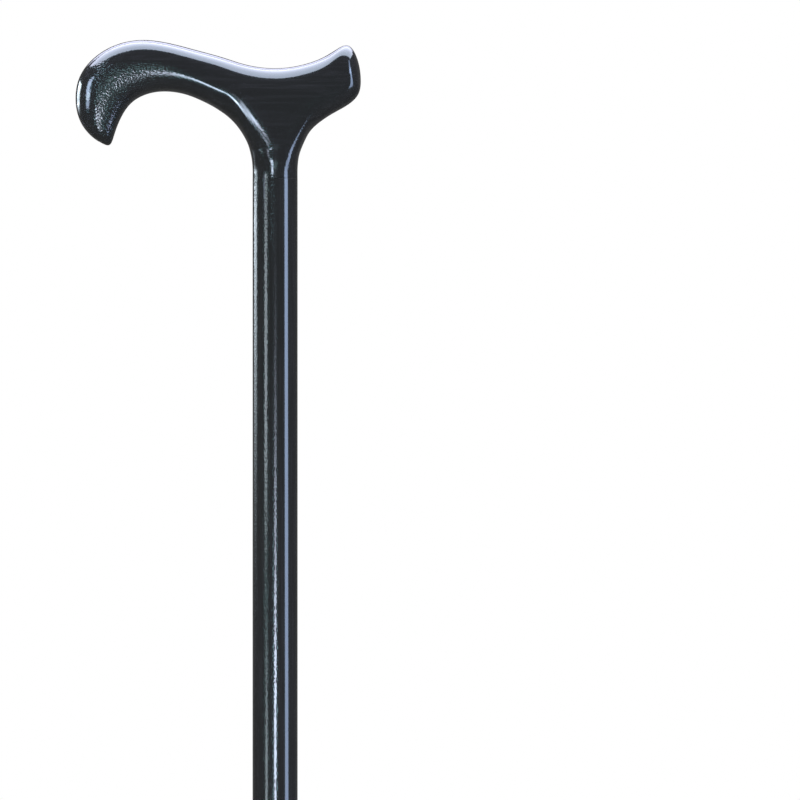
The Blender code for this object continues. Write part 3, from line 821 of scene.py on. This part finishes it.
# The handle's top edge, from over the cane and from behind it.
softbox("overhead_box", 180, 82, 0.85, (1.9, 0.95), 5.3, SKY_TINT)
softbox("back_box", 180, 42.5, 1.3, (1.6, 0.60), 2.3, SKY_TINT)
# The blue line down the right side of neck and shaft, and the tail's end.
softbox("right_box", 61.5, -5, 1.5, (0.48, 1.3), 6.2, BLUE_TINT, roll=13, dark_end=-1.3, full_end=0.85)
softbox("tail_box", 44, 2.0, 0.12, (0.040, 0.10), 6.0, BLUE_TINT, aim=OVER_TAIL, spread=100)
# The two stripes down the shaft's left side. The low box lights the second one's lower stretch.
softbox("left_back_box", -120, -3.4, 1.3, (0.62, 0.29), 5.6, COOL_TINT,
        dark_end=0.0, full_end=1.0, falloff=2.2)
softbox("left_box", -47, 0.2, 4.0, (1.05, 0.42), 5.0, COOL_TINT, dark_end=1.3, full_end=0.5)
softbox("left_low_box", -43, -4.0, 1.0, (0.225, 0.16), 4.6, COOL_TINT,
        aim=(0.0, 0.0, 0.6285), dark_end=1.0, full_end=0.45, spread=26)
# The nose: its cheek, its edge, and its face with the open pores.
softbox("nose_side_box", -50, 11.0, 0.15, (0.045, 0.055), 9.0, LAVENDER_TINT, aim=NOSE_CHEEK, spread=40)
softbox("nose_side_low_box", -44, -6.0, 0.15, (0.045, 0.055), 6.0, LAVENDER_TINT, aim=NOSE_CHEEK, spread=40)
softbox("nose_back_box", -119, -4.5, 0.30, (0.15, 0.105), 8.0, COOL_TINT,
        aim=OVER_NOSE, dark_end=-0.3, full_end=0.7)
softbox("nose_low_box", -3, -19.0, 0.15, (0.025, 0.030), 8.0, COOL_TINT,
        aim=(-0.078, 0.0, 0.8965), spread=40)
# The stripe down the middle of the shaft.
softbox("front_low_box", 2.5, -22.0, 0.36, (0.060, 0.36), 17.0, SKY_TINT,
        lean=-20.0, dark_end=1.0, full_end=0.25, falloff=2.8, spread=40)
# The bright line from the throat down the neck to the joint. Each box lights one stretch of it.
softbox("front_throat_box", -18.0, -17.0, 0.10, (0.0155, 0.0175), 27.0, PALE_TINT,
        aim=(-0.0189, -0.0118, 0.9031), spread=9.8)
softbox("front_bend_box", -14.6, -11.0, 0.10, (0.0095, 0.0140), 15.0, PALE_TINT,
        aim=(-0.0136, -0.0118, 0.8985), spread=6.6)
softbox("front_line_box", -11.0, -6.0, 0.10, (0.0115, 0.0125), 17.0, PALE_TINT,
        aim=(-0.0094, -0.0115, 0.8942), spread=10.2)
softbox("front_line_low_box", -20.0, -5.5, 0.10, (0.0120, 0.0110), 6.0, PALE_TINT,
        aim=(-0.0046, -0.0108, 0.8851), spread=10.2)
softbox("front_joint_box", -13.0, -11.0, 0.20, (0.038, 0.030), 14.0, PALE_TINT,
        aim=(-0.0015, 0.0, 0.874), spread=20)
# The band from the nose over the hook's crown to the throat. Two of its boxes lie low in front, almost flat.
softbox("nose_front_box", -8.0, -5.5, 0.15, (0.050, 0.040), 1.3, TEAL_TINT,
        aim=(-0.066, 0.0, 0.910), spread=40)
softbox("front_floor_box", -19.3, -25.4, 2.19, (0.36, 1.70), 11.5, PALE_TINT,
        aim=(0.39, 0.0, 0.95), lean=64.6, dark_end=-0.2, full_end=0.8, falloff=1.6)
softbox("front_floor_wide_box", 4.0, -19.4, 2.82, (1.10, 2.90), 0.5, TEAL_TINT, aim=OVER_CANE, lean=70.6)

# The camera's rays meet white, the gloss meets the dark surround, and all other light is a dim grey.
world = bpy.data.worlds.new("studio")
bpy.context.scene.world = world
world.use_nodes = True
tree = world.node_tree
tree.nodes.clear()
ray = add_node(tree, "LightPath", {})
sky = add_node(tree, "TexCoord", {}).outputs["Generated"]
around = blended(tree, ray.outputs["Is Glossy Ray"], DIFFUSE_SURROUND, dark_surround(tree, sky))
colour = blended(tree, seen_plain(tree, ray), around, WHITE)
glow = add_node(tree, "Background", {"Color": colour, "Strength": 1.0})
add_node(tree, "OutputWorld", {"Surface": glow.outputs["Background"]})

# The camera is level. It stands where the shaft's axis and the joint fall on their column and row.
metres_per_pixel = 2 * SHAFT_RADIUS / SHAFT_PIXELS
camera_x = (PICTURE_PIXELS / 2 - AXIS_COLUMN) * metres_per_pixel
camera_z = handle_low.z - (PICTURE_PIXELS / 2 - JOINT_ROW) * metres_per_pixel
camera_data = bpy.data.cameras.new("camera")
camera_data.sensor_width = SENSOR_WIDTH
camera_data.lens = SENSOR_WIDTH * CAMERA_DISTANCE / (PICTURE_PIXELS * metres_per_pixel)
camera = bpy.data.objects.new("camera", camera_data)
camera.location = (camera_x, -CAMERA_DISTANCE, camera_z)
camera.rotation_euler = (math.pi / 2, 0, 0)
bpy.context.scene.collection.objects.link(camera)
bpy.context.scene.camera = camera

bpy.context.scene.view_settings.view_transform = "Standard"
